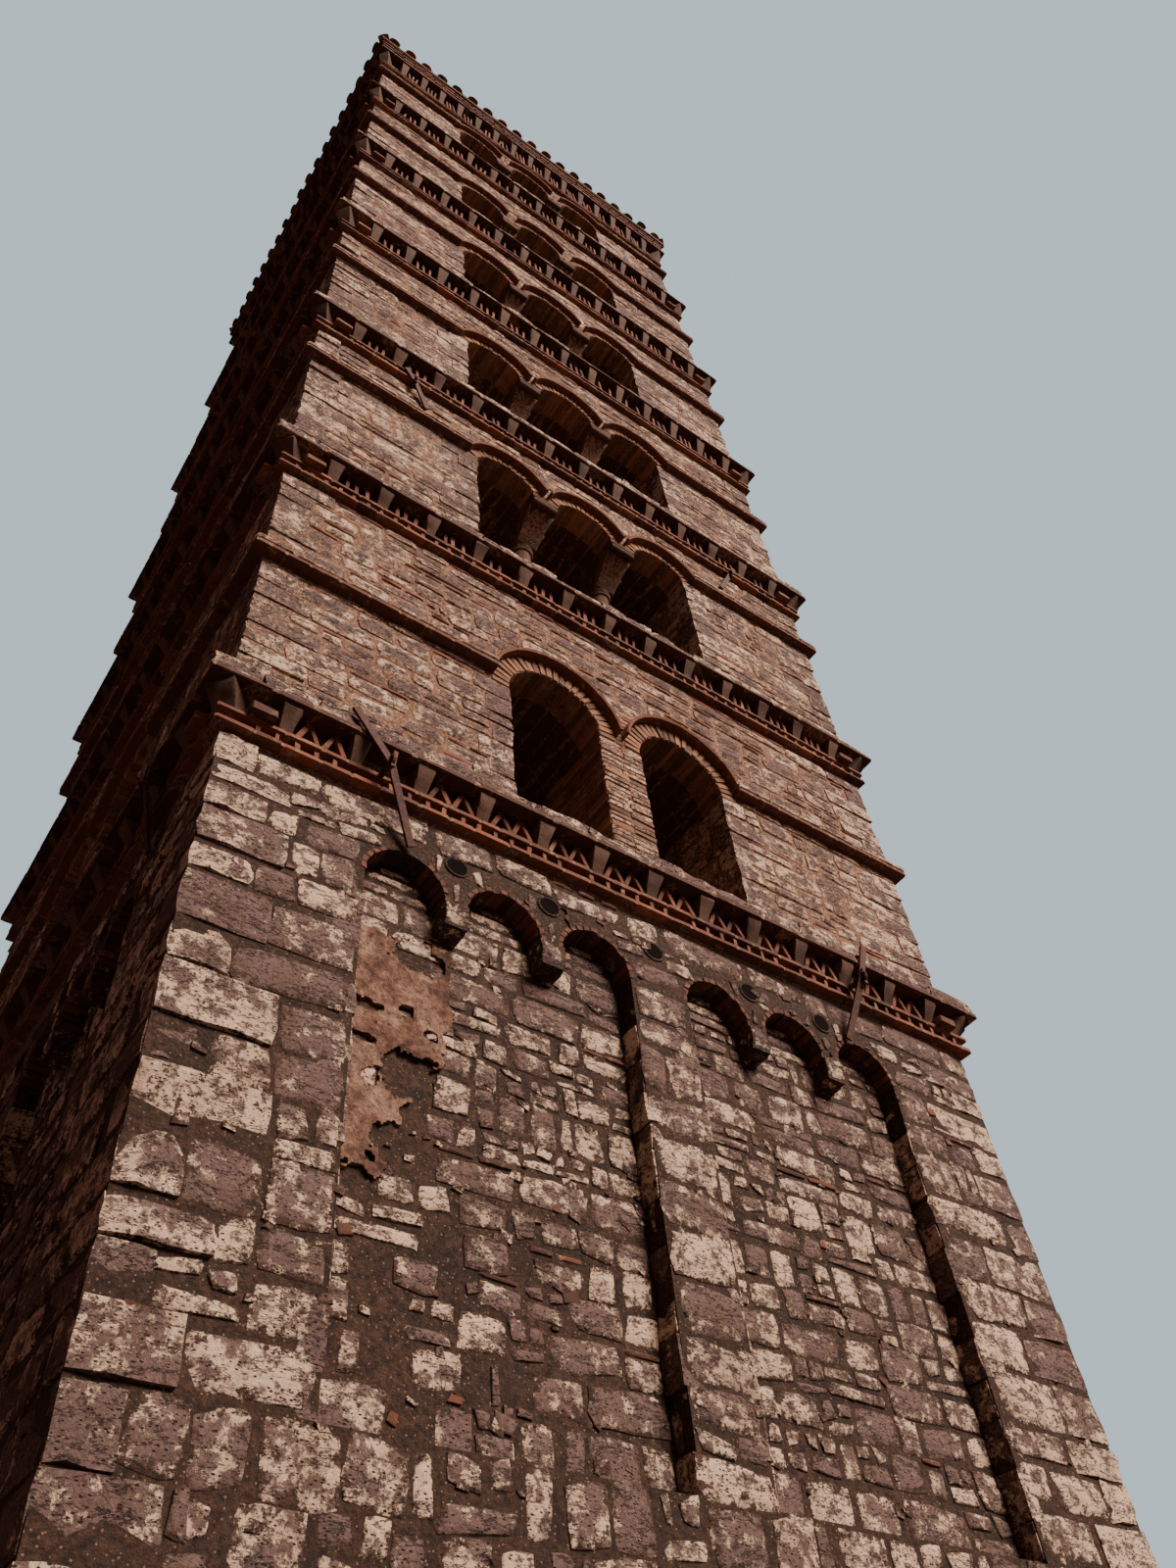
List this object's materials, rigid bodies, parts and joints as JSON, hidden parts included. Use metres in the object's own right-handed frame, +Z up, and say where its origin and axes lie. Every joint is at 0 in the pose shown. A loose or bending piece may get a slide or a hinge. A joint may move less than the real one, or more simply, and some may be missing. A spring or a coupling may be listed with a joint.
{
  "type": "bell tower",
  "caption": "Medieval square bell tower of rubble and brick, with blind arcades at the foot, open storeys of round arches on columns, brick cornices and a low tiled roof.",
  "frame": {"origin": "under the middle of the tower, on the ground", "axes": "+Z up; the front face, which is the lit one in the picture, looks along -Y; +X to its right"},
  "size_m": [7.7, 7.7, 33.26],
  "materials": {
    "rubble": "rough limestone rubble in dark lime mortar",
    "stone": "rough coursed limestone with brick",
    "brick": "fired brick",
    "marble": "weathered marble",
    "tile": "fired clay roof tile",
    "floor": "old boards",
    "iron": "rusty wrought iron"
  },
  "bodies": {
    "root": {"front_foot_wall": "rubble", "right_foot_wall": "rubble", "back_foot_wall": "rubble", "left_foot_wall": "rubble", "cornice_1": "brick", "storey_2_sill_and_piers": "stone", "storey_2_walls": "stone", "storey_2_floor": "floor", "cornice_2": "brick", "storey_3_sill_and_columns": "marble", "storey_3_walls": "stone", "storey_3_floor": "floor", "cornice_3": "brick", "storey_4_sill_and_columns": "marble", "storey_4_walls": "stone", "storey_4_floor": "floor", "cornice_4": "brick", "storey_5_sill_and_columns": "marble", "storey_5_walls": "stone", "storey_5_floor": "floor", "cornice_5": "brick", "storey_6_sill_and_columns": "marble", "storey_6_walls": "stone", "storey_6_floor": "floor", "cornice_6": "brick", "storey_7_sill_and_columns": "marble", "storey_7_walls": "stone", "storey_7_floor": "floor", "eaves_cornice": "brick", "roof": "tile", "front_anchor_1_left": "iron", "front_anchor_1_right": "iron", "front_anchor_3_left": "iron", "front_anchor_3_right": "iron", "back_anchor_1_left": "iron", "back_anchor_1_right": "iron", "back_anchor_3_left": "iron", "back_anchor_3_right": "iron", "left_anchor_1": "iron", "right_anchor_1": "iron"}
  },
  "joints": []
}
